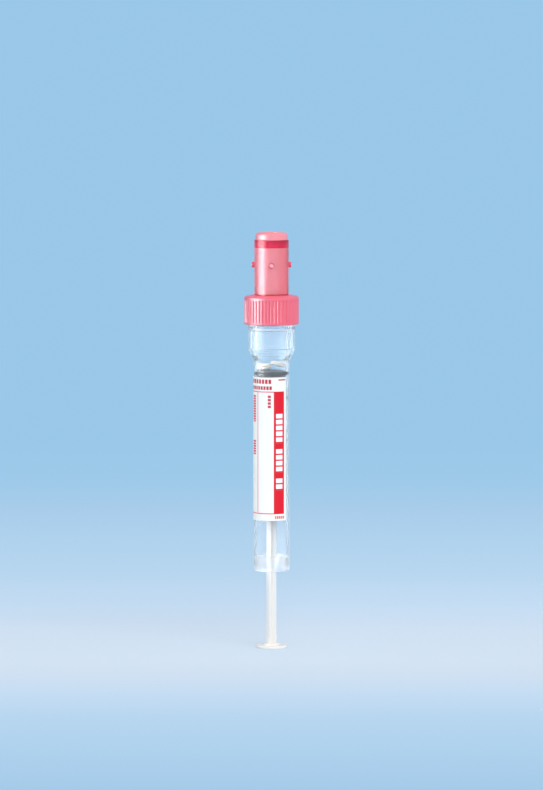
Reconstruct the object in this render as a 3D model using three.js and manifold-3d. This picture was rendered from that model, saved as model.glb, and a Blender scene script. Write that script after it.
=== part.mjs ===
// Small aspiration blood collection tube, standing on its thumb disc, in millimetres.
//
// The tube's axis is on +Z, with the cap at the top and the thumb disc's face at zero. The front is -Y.

import * as THREE from "three";
import { mergeVertices } from "three/addons/utils/BufferGeometryUtils.js";
import Module from "manifold-3d";

const wasm = await Module();
wasm.setup();

// ---------------------------------------------------------------- driving dimensions

const ROUND_SEGMENTS = 48; // facets round every turned piece; flats face front, back, left and right
const CURVE_STEPS = 4; // straight steps in each rounded stretch of an outline
const RUNNING_GAP = 0.03; // rubber or a skirt that fits the bore it runs in
const FIT_GAP = 0.05; // pieces held in one another
const SEAT_GAP = 0.3; // end faces that stop short of each other

// Tube
const TUBE_RADIUS = 4.2;
const TUBE_WALL = 0.65;
const TUBE_LENGTH = 64;
const FOOT_LAND = 0.75; // short straight opening at the very foot
const FOOT_CONE = 2.7; // height over which the bore narrows to that opening
const FOOT_STEP = 0.75; // how far the foot stands in from the bore
const FOOT_CHAMFER = 0.15;
const SHOULDER_BELOW_MOUTH = 13.75; // where the narrow body starts to widen
const SHOULDER_HEIGHT = 2.15;
const SHOULDER_ROUND = 0.5;
const SLEEVE_SPACE = 0.5; // open ring between the narrow body and the sleeve
const SLEEVE_WALL = 0.8;
const SLEEVE_FLOOR = 0.6; // thickness of the web that carries the sleeve
const SLEEVE_BELOW_MOUTH = 0.6;
const BEAD_BELOW_COLLAR = 1.1;
const BEAD_HEIGHT = 0.6;
const BEAD_PROUD = 0.2;
const THREAD_RELIEF = 0.2; // step in to the threaded stretch of the sleeve
const MOUTH_SEAT_DEPTH = 4.6;
const MOUTH_SEAT_STEP = 0.22; // how much wider the plug seat is than the bore
const MOUTH_CHAMFER = 0.12;

// Thread
const THREAD_PITCH = 2.5;
const THREAD_DEPTH = 0.4;
const THREAD_CREST = 0.6; // width of the ridge's crest
const THREAD_FOOT = 1.1; // width of the ridge's foot
const THREAD_ROOTED = 0.15; // how deep the ridge's foot stands in its wall
const THREAD_RUNOUT = 0.6; // radians over which a ridge grows from its end
const THREAD_STEPS = 44;
const THREAD_ABOVE_COLLAR_FOOT = 1.2; // lower end of the tube's ridge
const THREAD_BELOW_SLEEVE_TOP = 0.65; // upper end of the tube's ridge
const CAP_THREAD_LOWER = 0.15; // how much lower the cap's ridge starts
const THREAD_PLAY = 0.1; // crest of one thread to the wall that faces it

// Label
const LABEL_THICKNESS = 0.08;
const LABEL_LENGTH = 34.15;
const LABEL_BELOW_SHOULDER = 3.85;
const LABEL_GAP = 0.03;
const WINDOW_START = 52; // degrees round from the front, towards the right
const WINDOW_END = 112;
const LABEL_SEGMENTS = 40;

// Screw cap
const COLLAR_WALL = 0.7;
const COLLAR_HEIGHT = 6.75;
const COLLAR_ROOF = 1.25;
const COLLAR_FOOT_ROUND = 0.3;
const COLLAR_TOP_ROUND = 0.55;
const RIB_COUNT = 48;
const RIB_DEPTH = 0.22;
const RIB_SHARE = 0.4; // share of the pitch that a rib's crest takes
const GROOVE_SHARE = 0.25; // share of the pitch that a groove's floor takes
const GROOVE_FOOT = 0.5; // plain band under the grooves
const GROOVE_TOP = 0.85; // plain band over the grooves
const CUTTER_MARGIN = 1; // how far the grooves' cutter reaches past the collar
const ROOF_STEP_WIDTH = 1.15; // raised ring round the neck
const ROOF_STEP_HEIGHT = 0.22;
const PLUG_WALL = 0.62;
const PLUG_SHORT_OF_SEAT = 0.6; // the skirt ends this far over the floor of its seat
const PLUG_TAPER = 0.25;
const NECK_WALL = 1;
const NECK_HEIGHT = 13.45; // from the collar's top to the step under the dome
const DOME_STEP = 0.25;
const DOME_HEIGHT = 1.65;
const DOME_INSET = 0.9; // from the dome's foot in to the flat top
const LIP_WIDTH = 1.1; // how far the lip stands in over the neck's bore
const PIP_COUNT = 4;
const PIP_RADIUS = 0.68;
const PIP_PROUD = 0.6;
const PIP_CHAMFER = 0.12;
const PIP_SEGMENTS = 16;
const PIP_ABOVE_COLLAR = 7.4;

// Membrane stopper
const BAND_HEIGHT = 2.05; // stretch that seals on the neck's bore
const BOSS_RECESS = 0.35; // top of the boss, under the flat top of the cap
const BOSS_DIMPLE = 0.3;
const SKIRT_HEIGHT = 1.2;
const SKIRT_INSET = 0.5;
const SKIRT_WALL = 0.7;

// Piston seal
const SEAL_BELOW_MOUTH = 16.3; // its top edge, with the plunger pushed right in
const SEAL_LENGTH = 7.35;
const SEAL_CONE = 0.45; // height of its shallow cone top
const SEAL_EDGE_ROUND = 0.2;
const SEAL_WAIST = 0.45; // how far the body stands in between the lips
const TOP_LIP = 1;
const TOP_LIP_TAPER = 0.7;
const MIDDLE_LIP_BELOW_TOP = 4.65;
const LOWER_LIP_BELOW_TOP = 6.3;
const LIP_HALF = 0.45;
const LOWER_LIP_LAND = 0.2;

// Plunger rod
const DISC_RADIUS = 3.7;
const DISC_THICKNESS = 0.65;
const DISC_CHAMFER = 0.1;
const HUB_RADIUS = 1.9;
const HUB_HEIGHT = 0.4;
const HUB_CHAMFER = 0.15;
const ROD_SHOWING = 17.9; // from the disc to the tube's foot, with the plunger pushed right in
const ROD_WIDTH = 2.35;
const RIB_THICKNESS = 0.62;
const ROD_TURN = 19; // degrees that the cross is turned, its front rib towards the left
const BREAK_RADIUS = 0.65;
const BREAK_LENGTH = 0.6;
const FLANGE_FOOT_RADIUS = 2.2;
const FLANGE_CONE = 1;
const FLANGE_RIM = 0.7;
const FLANGE_CLEARANCE = 0.35; // locking flange to the bore
const STEM_RADIUS = 1.3;
const STEM_LENGTH = 2;
const HEAD_RADIUS = 1.9;
const HEAD_RIM = 0.6;
const HEAD_TOP_RADIUS = 1.2;
const HEAD_TAPER = 1.8;

// Activator pellets
const PELLET_SHARE = 0.52; // a pellet's radius, as a share of the bore's
const PELLET_HALF_HEIGHT = 0.88;
const PELLET_RIM_HALF = 0.4;
const PELLET_FULLNESS = 0.8; // share of the radius out to which each face stays full
const PELLET_GROOVE = 0.12;
const PELLET_GROOVE_HALF = 0.14;
const PELLET_GAP = 0.06; // pellets to the bore, the piston and each other
const PELLET_TILTS = [8, 20]; // degrees, left and right, each with its inner edge up
const PELLET_CLIMB = 0.35; // how far the right one rides up on the fuller part of the left one

// ---------------------------------------------------------------- sizes that follow

const boreRadius = TUBE_RADIUS - TUBE_WALL;
const tubeFoot = DISC_THICKNESS + ROD_SHOWING;
const tubeMouth = tubeFoot + TUBE_LENGTH;
const footOpening = boreRadius - FOOT_STEP;
const shoulderFoot = tubeMouth - SHOULDER_BELOW_MOUTH;
const shoulderTop = shoulderFoot + SHOULDER_HEIGHT;
const sleeveInner = TUBE_RADIUS + SLEEVE_SPACE;
const sleeveOuter = sleeveInner + SLEEVE_WALL;
const sleeveTop = tubeMouth - SLEEVE_BELOW_MOUTH;
const threadRoot = sleeveOuter - THREAD_RELIEF;
const seatRadius = boreRadius + MOUTH_SEAT_STEP;
const seatFloor = tubeMouth - MOUTH_SEAT_DEPTH;

const collarBore = threadRoot + THREAD_DEPTH + THREAD_PLAY;
const collarRadius = collarBore + COLLAR_WALL;
const roofUnderside = tubeMouth + SEAT_GAP;
const collarTop = roofUnderside + COLLAR_ROOF;
const collarFoot = collarTop - COLLAR_HEIGHT;
const beadMiddle = collarFoot - BEAD_BELOW_COLLAR;
const tubeThreadFoot = collarFoot + THREAD_ABOVE_COLLAR_FOOT;
const capThreadFoot = tubeThreadFoot - CAP_THREAD_LOWER;
const threadClimb = sleeveTop - THREAD_BELOW_SLEEVE_TOP - tubeThreadFoot;
const plugRadius = seatRadius - FIT_GAP;
const plugFoot = seatFloor + PLUG_SHORT_OF_SEAT;
const neckBore = plugRadius - PLUG_WALL;
const neckRadius = neckBore + NECK_WALL;
const domeFoot = collarTop + NECK_HEIGHT;
const capTop = domeFoot + DOME_HEIGHT;
const lipOpening = neckBore - LIP_WIDTH;

const sealRadius = boreRadius - RUNNING_GAP;
const sealTop = tubeMouth - SEAL_BELOW_MOUTH;
const sealFoot = sealTop - SEAL_LENGTH;
const flangeTop = sealFoot - FIT_GAP;
const rodTop = flangeTop - FLANGE_RIM - FLANGE_CONE - BREAK_LENGTH;

const halfStep = Math.PI / ROUND_SEGMENTS;
const degrees = THREE.MathUtils.degToRad;

// ---------------------------------------------------------------- solids

// A closed solid from a closed geometry: shared vertices merged, empty triangles on the axis dropped.
function toSolid(geometry) {
  geometry.deleteAttribute("normal");
  geometry.deleteAttribute("uv");
  const merged = mergeVertices(geometry);
  const corners = [];
  for (let i = 0; i < merged.index.count; i += 3) {
    const triangle = [merged.index.getX(i), merged.index.getX(i + 1), merged.index.getX(i + 2)];
    if (new Set(triangle).size === 3) corners.push(...triangle);
  }
  const vertProperties = new Float32Array(merged.attributes.position.array);
  const triVerts = new Uint32Array(corners);
  return new wasm.Manifold(new wasm.Mesh({ numProp: 3, vertProperties, triVerts }));
}

// A named mesh of one solid, with its own material.
function piece(name, solid, look) {
  const { vertProperties, triVerts } = solid.getMesh();
  const geometry = new THREE.BufferGeometry();
  geometry.setAttribute("position", new THREE.BufferAttribute(vertProperties, 3));
  geometry.setIndex(new THREE.BufferAttribute(triVerts, 1));
  geometry.computeVertexNormals();
  const mesh = new THREE.Mesh(geometry, new THREE.MeshStandardMaterial(look));
  mesh.name = name;
  return mesh;
}

// The outline's points, radius across and height up, turned about +Z. The outline closes on itself.
function turnedGeometry(outline, segments = ROUND_SEGMENTS) {
  const points = outline.getPoints(CURVE_STEPS);
  points.push(points[0].clone());
  if (THREE.ShapeUtils.area(points) < 0) points.reverse();
  const geometry = new THREE.LatheGeometry(points, segments, Math.PI / segments);
  return geometry.rotateX(Math.PI / 2);
}

function turned(outline) {
  return toSolid(turnedGeometry(outline));
}

// A thread ridge that climbs to the right. It stands out from a wall, or in from it with side -1.
function threadRidge(wallRadius, side, startAngle, startHeight) {
  const section = new THREE.Shape();
  section.moveTo(-THREAD_ROOTED, -THREAD_FOOT / 2);
  section.lineTo(THREAD_DEPTH, -THREAD_CREST / 2);
  section.lineTo(THREAD_DEPTH, THREAD_CREST / 2);
  section.lineTo(-THREAD_ROOTED, THREAD_FOOT / 2);
  const sweep = 2 * Math.PI * threadClimb / THREAD_PITCH;
  const path = { depth: sweep, steps: THREAD_STEPS, bevelEnabled: false };
  const ridge = new THREE.ExtrudeGeometry(section, path);
  const places = ridge.attributes.position;
  for (let i = 0; i < places.count; i += 1) {
    const along = places.getZ(i);
    const turn = side > 0 ? sweep - along : along;
    const grown = THREE.MathUtils.smoothstep(Math.min(turn, sweep - turn), 0, THREAD_RUNOUT);
    const out = Math.min(places.getX(i), 0) + Math.max(places.getX(i), 0) * grown;
    const radius = wallRadius + side * out;
    const height = startHeight + places.getY(i) + THREAD_PITCH * turn / (2 * Math.PI);
    const angle = startAngle + turn;
    places.setXYZ(i, radius * Math.cos(angle), radius * Math.sin(angle), height);
  }
  return toSolid(ridge);
}

// ---------------------------------------------------------------- tube

function addShoulder(outline) {
  const foot = new THREE.Vector2(TUBE_RADIUS, shoulderFoot);
  const top = new THREE.Vector2(sleeveOuter, shoulderTop);
  const slope = top.clone().sub(foot).normalize().multiplyScalar(SHOULDER_ROUND);
  outline.lineTo(foot.x, foot.y - SHOULDER_ROUND);
  outline.quadraticCurveTo(foot.x, foot.y, foot.x + slope.x, foot.y + slope.y);
  outline.lineTo(top.x - slope.x, top.y - slope.y);
  outline.quadraticCurveTo(top.x, top.y, top.x, top.y + SHOULDER_ROUND);
}

function addBead(outline) {
  const half = BEAD_HEIGHT / 2;
  const crest = sleeveOuter + BEAD_PROUD;
  outline.lineTo(sleeveOuter, beadMiddle - half);
  outline.bezierCurveTo(crest, beadMiddle - half, crest, beadMiddle + half, sleeveOuter, beadMiddle + half);
}

function tubeOutline() {
  const outline = new THREE.Path();
  outline.moveTo(footOpening, tubeFoot);
  outline.lineTo(TUBE_RADIUS - FOOT_CHAMFER, tubeFoot);
  outline.lineTo(TUBE_RADIUS, tubeFoot + FOOT_CHAMFER);
  addShoulder(outline);
  addBead(outline);
  outline.lineTo(sleeveOuter, collarFoot);
  outline.lineTo(threadRoot, collarFoot + THREAD_RELIEF);
  outline.lineTo(threadRoot, sleeveTop);
  outline.lineTo(sleeveInner, sleeveTop);
  outline.lineTo(sleeveInner, shoulderTop + SLEEVE_FLOOR);
  outline.lineTo(TUBE_RADIUS, shoulderTop + SLEEVE_FLOOR);
  outline.lineTo(TUBE_RADIUS, tubeMouth);
  outline.lineTo(seatRadius + MOUTH_CHAMFER, tubeMouth);
  outline.lineTo(seatRadius, tubeMouth - MOUTH_CHAMFER);
  outline.lineTo(seatRadius, seatFloor + MOUTH_SEAT_STEP);
  outline.lineTo(boreRadius, seatFloor);
  outline.lineTo(boreRadius, tubeFoot + FOOT_LAND + FOOT_CONE);
  outline.lineTo(footOpening, tubeFoot + FOOT_LAND);
  return outline;
}

function makeTube() {
  const solid = turned(tubeOutline()).add(threadRidge(threadRoot, 1, 0, tubeThreadFoot));
  const look = { color: "#dcebf6", roughness: 0.12, metalness: 0, transparent: true, opacity: 0.35 };
  return piece("tube", solid, look);
}

// ---------------------------------------------------------------- label

// A sheet rolled round the tube. Angles run from the front towards the right.
function makeLabel() {
  const inner = TUBE_RADIUS + LABEL_GAP;
  const outer = inner + LABEL_THICKNESS;
  const start = degrees(WINDOW_END - 90);
  const end = degrees(WINDOW_START + 270);
  const sheet = new THREE.Shape();
  sheet.absarc(0, 0, outer, start, end, false);
  sheet.absarc(0, 0, inner, end, start, true);
  const depth = LABEL_LENGTH;
  const roll = { depth, bevelEnabled: false, curveSegments: LABEL_SEGMENTS };
  const geometry = new THREE.ExtrudeGeometry(sheet, roll);
  geometry.translate(0, 0, shoulderFoot - LABEL_BELOW_SHOULDER - depth);
  return piece("label", toSolid(geometry), { color: "#f6f6f4", roughness: 0.6, metalness: 0 });
}

// ---------------------------------------------------------------- screw cap

function capOutline() {
  const outline = new THREE.Path();
  const roofStep = neckRadius + ROOF_STEP_WIDTH;
  outline.moveTo(collarBore, collarFoot);
  outline.lineTo(collarRadius - COLLAR_FOOT_ROUND, collarFoot);
  outline.quadraticCurveTo(collarRadius, collarFoot, collarRadius, collarFoot + COLLAR_FOOT_ROUND);
  outline.lineTo(collarRadius, collarTop - COLLAR_TOP_ROUND);
  outline.quadraticCurveTo(collarRadius, collarTop, collarRadius - COLLAR_TOP_ROUND, collarTop);
  outline.lineTo(roofStep, collarTop);
  outline.lineTo(roofStep - ROOF_STEP_HEIGHT, collarTop + ROOF_STEP_HEIGHT);
  outline.lineTo(neckRadius, collarTop + ROOF_STEP_HEIGHT);
  outline.lineTo(neckRadius, domeFoot - DOME_STEP / 2);
  outline.lineTo(neckRadius - DOME_STEP, domeFoot);
  const topRadius = neckRadius - DOME_STEP - DOME_INSET;
  outline.quadraticCurveTo(neckRadius - DOME_STEP, capTop - DOME_INSET, topRadius, capTop);
  outline.lineTo(lipOpening, capTop);
  outline.lineTo(lipOpening, domeFoot);
  outline.lineTo(neckBore, domeFoot);
  outline.lineTo(neckBore, plugFoot);
  outline.lineTo(plugRadius - PLUG_TAPER, plugFoot);
  outline.lineTo(plugRadius, plugFoot + 2 * PLUG_TAPER);
  outline.lineTo(plugRadius, roofUnderside);
  outline.lineTo(collarBore, roofUnderside);
  return outline;
}

// A ring that takes the grooves out of the collar, leaving the ribs between them.
function grooveCutter() {
  const pitch = 2 * Math.PI / RIB_COUNT;
  const flank = pitch * (1 - RIB_SHARE - GROOVE_SHARE) / 2;
  const floor = collarRadius - RIB_DEPTH;
  const crest = collarRadius + RIB_DEPTH / 2;
  const spread = flank * (crest - floor) / RIB_DEPTH;
  const floorHalf = pitch * GROOVE_SHARE / 2;
  const crestStart = floorHalf + spread;
  const crestEnd = pitch - crestStart;
  const ribs = [];
  for (let i = 0; i < RIB_COUNT; i += 1) {
    const corners = [[floor, -floorHalf], [floor, floorHalf], [crest, crestStart], [crest, crestEnd]];
    for (const [radius, angle] of corners) {
      const x = radius * Math.cos(pitch * i + angle);
      const y = radius * Math.sin(pitch * i + angle);
      ribs.push(new THREE.Vector2(x, y));
    }
  }
  const ring = new THREE.Shape();
  ring.absarc(0, 0, collarRadius + CUTTER_MARGIN, 0, 2 * Math.PI, false);
  ring.holes.push(new THREE.Path(ribs));
  const depth = COLLAR_HEIGHT - GROOVE_FOOT - GROOVE_TOP;
  const geometry = new THREE.ExtrudeGeometry(ring, { depth, bevelEnabled: false });
  return toSolid(geometry.translate(0, 0, collarFoot + GROOVE_FOOT));
}

function makePip(index) {
  const rooted = NECK_WALL / 2;
  const length = rooted + PIP_PROUD;
  const outline = new THREE.Path();
  outline.moveTo(0, 0);
  outline.lineTo(PIP_RADIUS, 0);
  outline.lineTo(PIP_RADIUS, length - PIP_CHAMFER);
  outline.lineTo(PIP_RADIUS - PIP_CHAMFER, length);
  outline.lineTo(0, length);
  const geometry = turnedGeometry(outline, PIP_SEGMENTS);
  geometry.rotateX(Math.PI / 2);
  geometry.translate(0, -(neckRadius - rooted), collarTop + PIP_ABOVE_COLLAR);
  return toSolid(geometry.rotateZ(index * 2 * Math.PI / PIP_COUNT));
}

function makeCap() {
  const startAngle = 2 * Math.PI * ((capThreadFoot - tubeThreadFoot) / THREAD_PITCH - 0.5);
  let solid = turned(capOutline()).subtract(grooveCutter());
  solid = solid.add(threadRidge(collarBore, -1, startAngle, capThreadFoot));
  for (let i = 0; i < PIP_COUNT; i += 1) {
    solid = solid.add(makePip(i));
  }
  const look = { color: "#f0697f", roughness: 0.25, metalness: 0, transparent: true, opacity: 0.8 };
  return piece("screw_cap", solid, look);
}

// ---------------------------------------------------------------- membrane stopper

function makeStopper() {
  const bandRadius = neckBore - FIT_GAP;
  const bandTop = domeFoot - FIT_GAP;
  const bandFoot = bandTop - BAND_HEIGHT;
  const bossRadius = lipOpening - FIT_GAP;
  const skirtRadius = bandRadius - SKIRT_INSET;
  const outline = new THREE.Path();
  outline.moveTo(0, bandFoot);
  outline.lineTo(skirtRadius - SKIRT_WALL, bandFoot);
  outline.lineTo(skirtRadius - SKIRT_WALL, bandFoot - SKIRT_HEIGHT);
  outline.lineTo(skirtRadius, bandFoot - SKIRT_HEIGHT);
  outline.lineTo(skirtRadius, bandFoot);
  outline.lineTo(bandRadius, bandFoot);
  outline.lineTo(bandRadius, bandTop);
  outline.lineTo(bossRadius, bandTop);
  outline.lineTo(bossRadius, capTop - BOSS_RECESS);
  outline.quadraticCurveTo(bossRadius / 2, capTop - BOSS_RECESS, 0, capTop - BOSS_RECESS - BOSS_DIMPLE);
  return piece("membrane_stopper", turned(outline), { color: "#d81f4e", roughness: 0.45, metalness: 0 });
}

// ---------------------------------------------------------------- piston seal

function sealOutline() {
  const waist = sealRadius - SEAL_WAIST;
  const middleLip = sealTop - MIDDLE_LIP_BELOW_TOP;
  const lowerLip = sealTop - LOWER_LIP_BELOW_TOP;
  const outline = new THREE.Path();
  outline.moveTo(STEM_RADIUS + FIT_GAP, sealFoot);
  outline.lineTo(waist, sealFoot);
  outline.lineTo(waist, lowerLip - LIP_HALF);
  outline.lineTo(sealRadius, lowerLip - LOWER_LIP_LAND);
  outline.lineTo(sealRadius, lowerLip + LOWER_LIP_LAND);
  outline.lineTo(waist, lowerLip + LIP_HALF);
  outline.lineTo(waist, middleLip - LIP_HALF);
  outline.lineTo(sealRadius, middleLip);
  outline.lineTo(waist, middleLip + LIP_HALF);
  outline.lineTo(waist, sealTop - TOP_LIP - TOP_LIP_TAPER);
  outline.lineTo(sealRadius, sealTop - TOP_LIP);
  outline.lineTo(sealRadius, sealTop - SEAL_EDGE_ROUND);
  outline.quadraticCurveTo(sealRadius, sealTop, sealRadius - SEAL_EDGE_ROUND, sealTop);
  outline.lineTo(0, sealTop + SEAL_CONE);
  const socketFoot = flangeTop + STEM_LENGTH - FIT_GAP;
  const socketTop = flangeTop + STEM_LENGTH + HEAD_RIM + HEAD_TAPER + FIT_GAP;
  outline.lineTo(0, socketTop);
  outline.lineTo(HEAD_TOP_RADIUS + FIT_GAP, socketTop);
  outline.lineTo(HEAD_RADIUS + FIT_GAP, socketTop - HEAD_TAPER);
  outline.lineTo(HEAD_RADIUS + FIT_GAP, socketFoot);
  outline.lineTo(STEM_RADIUS + FIT_GAP, socketFoot);
  return outline;
}

function makeSeal() {
  return piece("piston_seal", turned(sealOutline()), { color: "#1c1d20", roughness: 0.5, metalness: 0 });
}

// ---------------------------------------------------------------- plunger rod

function discOutline() {
  const top = DISC_THICKNESS;
  const outline = new THREE.Path();
  outline.moveTo(0, 0);
  outline.lineTo(DISC_RADIUS - DISC_CHAMFER, 0);
  outline.lineTo(DISC_RADIUS, DISC_CHAMFER);
  outline.lineTo(DISC_RADIUS, top - DISC_CHAMFER);
  outline.lineTo(DISC_RADIUS - DISC_CHAMFER, top);
  outline.lineTo(HUB_RADIUS, top);
  outline.lineTo(HUB_RADIUS, top + HUB_HEIGHT - HUB_CHAMFER);
  outline.lineTo(HUB_RADIUS - HUB_CHAMFER, top + HUB_HEIGHT);
  outline.lineTo(0, top + HUB_HEIGHT);
  return outline;
}

// Four ribs that cross on the axis, from the thumb disc to the break point.
function crossRod() {
  const half = ROD_WIDTH / 2;
  const thin = RIB_THICKNESS / 2;
  const quarter = [[thin, -half], [thin, -thin], [half, -thin]];
  const section = new THREE.Shape();
  for (let i = 0; i < 4; i += 1) {
    for (const [x, y] of quarter) {
      const corner = new THREE.Vector2(x, y).rotateAround(new THREE.Vector2(), i * Math.PI / 2);
      if (i === 0 && y === -half) section.moveTo(corner.x, corner.y);
      else section.lineTo(corner.x, corner.y);
    }
    const next = new THREE.Vector2(half, thin).rotateAround(new THREE.Vector2(), i * Math.PI / 2);
    section.lineTo(next.x, next.y);
  }
  const foot = DISC_THICKNESS / 2;
  const geometry = new THREE.ExtrudeGeometry(section, { depth: rodTop - foot, bevelEnabled: false });
  geometry.rotateZ(-degrees(ROD_TURN));
  return toSolid(geometry.translate(0, 0, foot));
}

// Break point, locking flange, and the head that the piston seal is pushed over.
function rodEndOutline() {
  const flangeRadius = boreRadius - FLANGE_CLEARANCE;
  const flangeFoot = flangeTop - FLANGE_RIM - FLANGE_CONE;
  const headFoot = flangeTop + STEM_LENGTH;
  const outline = new THREE.Path();
  outline.moveTo(0, rodTop - BREAK_LENGTH);
  outline.lineTo(BREAK_RADIUS, rodTop - BREAK_LENGTH);
  outline.lineTo(BREAK_RADIUS, flangeFoot);
  outline.lineTo(FLANGE_FOOT_RADIUS, flangeFoot);
  outline.lineTo(flangeRadius, flangeFoot + FLANGE_CONE);
  outline.lineTo(flangeRadius, flangeTop);
  outline.lineTo(STEM_RADIUS, flangeTop);
  outline.lineTo(STEM_RADIUS, headFoot);
  outline.lineTo(HEAD_RADIUS, headFoot);
  outline.lineTo(HEAD_RADIUS, headFoot + HEAD_RIM);
  outline.lineTo(HEAD_TOP_RADIUS, headFoot + HEAD_RIM + HEAD_TAPER);
  outline.lineTo(0, headFoot + HEAD_RIM + HEAD_TAPER);
  return outline;
}

function makeRod() {
  const solid = turned(discOutline()).add(crossRod()).add(turned(rodEndOutline()));
  return piece("plunger_rod", solid, { color: "#f2f1ee", roughness: 0.3, metalness: 0 });
}

// ---------------------------------------------------------------- activator pellets

function pelletOutline(radius) {
  const groove = radius - PELLET_GROOVE;
  const bulge = (PELLET_HALF_HEIGHT + PELLET_RIM_HALF) / 2;
  const outline = new THREE.Path();
  outline.moveTo(0, -PELLET_HALF_HEIGHT);
  outline.quadraticCurveTo(radius * PELLET_FULLNESS, -bulge - PELLET_GROOVE, radius, -PELLET_RIM_HALF);
  outline.lineTo(radius, -PELLET_GROOVE_HALF);
  outline.lineTo(groove, 0);
  outline.lineTo(radius, PELLET_GROOVE_HALF);
  outline.lineTo(radius, PELLET_RIM_HALF);
  outline.quadraticCurveTo(radius * PELLET_FULLNESS, bulge + PELLET_GROOVE, 0, PELLET_HALF_HEIGHT);
  return outline;
}

// The two pellets lie side by side over the piston's cone. The right one leans on the left one's inner edge.
function makePellet(index) {
  const side = index === 0 ? -1 : 1;
  const radius = boreRadius * PELLET_SHARE;
  const across = boreRadius * Math.cos(halfStep) - radius - PELLET_GAP;
  const coneDrop = SEAL_CONE * across / (sealRadius - SEAL_EDGE_ROUND);
  const [leftTilt, rightTilt] = PELLET_TILTS.map(degrees);
  const edges = radius * (Math.sin(leftTilt) - Math.sin(rightTilt)) + 2 * PELLET_RIM_HALF;
  const lean = edges + PELLET_CLIMB + PELLET_GAP;
  const left = sealTop + SEAL_CONE - coneDrop + PELLET_HALF_HEIGHT + PELLET_GAP;
  const geometry = turnedGeometry(pelletOutline(radius), ROUND_SEGMENTS / 2);
  geometry.rotateY(side * degrees(PELLET_TILTS[index]));
  geometry.translate(side * across, 0, index === 0 ? left : left + lean);
  const look = { color: "#f3f1ea", roughness: 0.55, metalness: 0 };
  return piece(`activator_pellet_${index + 1}`, toSolid(geometry), look);
}

// ---------------------------------------------------------------- assembly

const group = new THREE.Group();
group.add(makeTube(), makeLabel(), makeCap(), makeStopper());
group.add(makeSeal(), makeRod(), makePellet(0), makePellet(1));

export default group;
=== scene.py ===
# A small aspiration blood collection tube that stands on its thumb disc.
#
# Pieces are modelled in millimetres, upright about +Z with their front towards -Y, and brought to metres when
# they are finished. Heights are measured from the thumb disc's face.

import math

import bpy
import mathutils
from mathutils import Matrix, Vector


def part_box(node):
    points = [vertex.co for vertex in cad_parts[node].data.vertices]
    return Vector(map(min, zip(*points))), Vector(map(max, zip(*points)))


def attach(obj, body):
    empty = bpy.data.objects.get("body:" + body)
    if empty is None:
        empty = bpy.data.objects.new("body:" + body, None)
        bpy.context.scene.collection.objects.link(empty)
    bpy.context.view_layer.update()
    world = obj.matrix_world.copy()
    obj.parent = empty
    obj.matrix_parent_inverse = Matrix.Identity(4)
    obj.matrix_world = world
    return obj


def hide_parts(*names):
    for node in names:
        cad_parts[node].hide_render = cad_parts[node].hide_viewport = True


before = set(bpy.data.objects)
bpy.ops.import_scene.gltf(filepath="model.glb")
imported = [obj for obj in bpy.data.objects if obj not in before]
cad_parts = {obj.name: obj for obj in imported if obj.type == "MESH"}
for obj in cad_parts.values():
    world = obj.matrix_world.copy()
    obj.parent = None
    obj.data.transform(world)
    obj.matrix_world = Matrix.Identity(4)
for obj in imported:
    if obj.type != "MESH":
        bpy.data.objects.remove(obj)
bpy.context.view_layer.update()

MM = 0.001
TURN = 2 * math.pi


def span(node):
    """Radius, foot and top of a CAD node, in millimetres."""
    low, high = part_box(node)
    return -low.x / MM, low.z / MM, high.z / MM


_, TUBE_FOOT, TUBE_MOUTH = span("tube")
COLLAR_RADIUS, COLLAR_FOOT, CAP_TOP = span("screw_cap")
_, STOPPER_FOOT, STOPPER_TOP = span("membrane_stopper")
DISC_RADIUS, _, ROD_TOP = span("plunger_rod")
_, SEAL_FOOT, SEAL_TOP = span("piston_seal")
LABEL_RADIUS, LABEL_FOOT, LABEL_TOP = span("label")

# In millimetres, like all sizes below that say nothing else
NEAR = 0.1  # how near to a wall or height a face is taken to belong to it
SMOOTH_ANGLE = 30  # degrees

# Barrel
BODY_RADIUS = 4.2
BORE = 3.55
FOOT_BORE = 2.8
FOOT_LAND = 0.75
FOOT_CONE = 2.7
SHOULDER_FOOT = TUBE_MOUTH - 13.75
SHOULDER_TOP = SHOULDER_FOOT + 2.15
SLEEVE_INNER = 4.7
SLEEVE_OUTER = 5.5
SLEEVE_FLOOR = SHOULDER_TOP + 0.6
SLEEVE_TOP = TUBE_MOUTH - 0.6
BEAD_MIDDLE = COLLAR_FOOT - 1.1
BEAD_HALF = 0.28
BEAD_PROUD = 0.15
THREAD_WALL = 5.3  # radius of the sleeve where it carries the thread
SEAT_RADIUS = 3.77
SEAT_FLOOR = TUBE_MOUTH - 4.6

# Thread
THREAD_PITCH = 2.5
THREAD_TURNS = 1.1
THREAD_DEPTH = 0.4
THREAD_SUNK = 0.15  # how far the ridge's root is sunk in its wall
THREAD_ROOT_HALF = 0.55
THREAD_CREST_HALF = 0.3
THREAD_STEPS = 66
THREAD_START = COLLAR_FOOT + 1.2
CAP_THREAD_START = THREAD_START - 0.15

# Cap
COLLAR_BORE = 5.8
COLLAR_TOP = COLLAR_FOOT + 6.75
ROOF_UNDERSIDE = COLLAR_TOP - 1.25
RIB_COUNT = 48
RIB_DEPTH = 0.22
GROOVE_DEPTH_SHARES = (0, 0, 0, 0.5, 1, 0.5, 0, 0)  # over one rib's share of the collar's rim
GROOVE_FOOT = COLLAR_FOOT + 0.5
GROOVE_TOP = COLLAR_TOP - 0.85
GROOVE_RUN_OUT = 0.12
RING_RADIUS = 5.25
RING_HEIGHT = 0.22
NECK_RADIUS = 4.1
NECK_BORE = 3.1
DOME_FOOT = COLLAR_TOP + 13.45
DOME_RADIUS = NECK_RADIUS - 0.25
LIP_BORE = 2
PLUG_RADIUS = 3.72
PLUG_FOOT = SEAT_FLOOR + 0.6
PIP_RADIUS = 0.68
PIP_PROUD = 0.6
PIP_ROOT = 0.5  # how far a pip reaches into the neck's wall
PIP_DISH = 0.1
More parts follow.
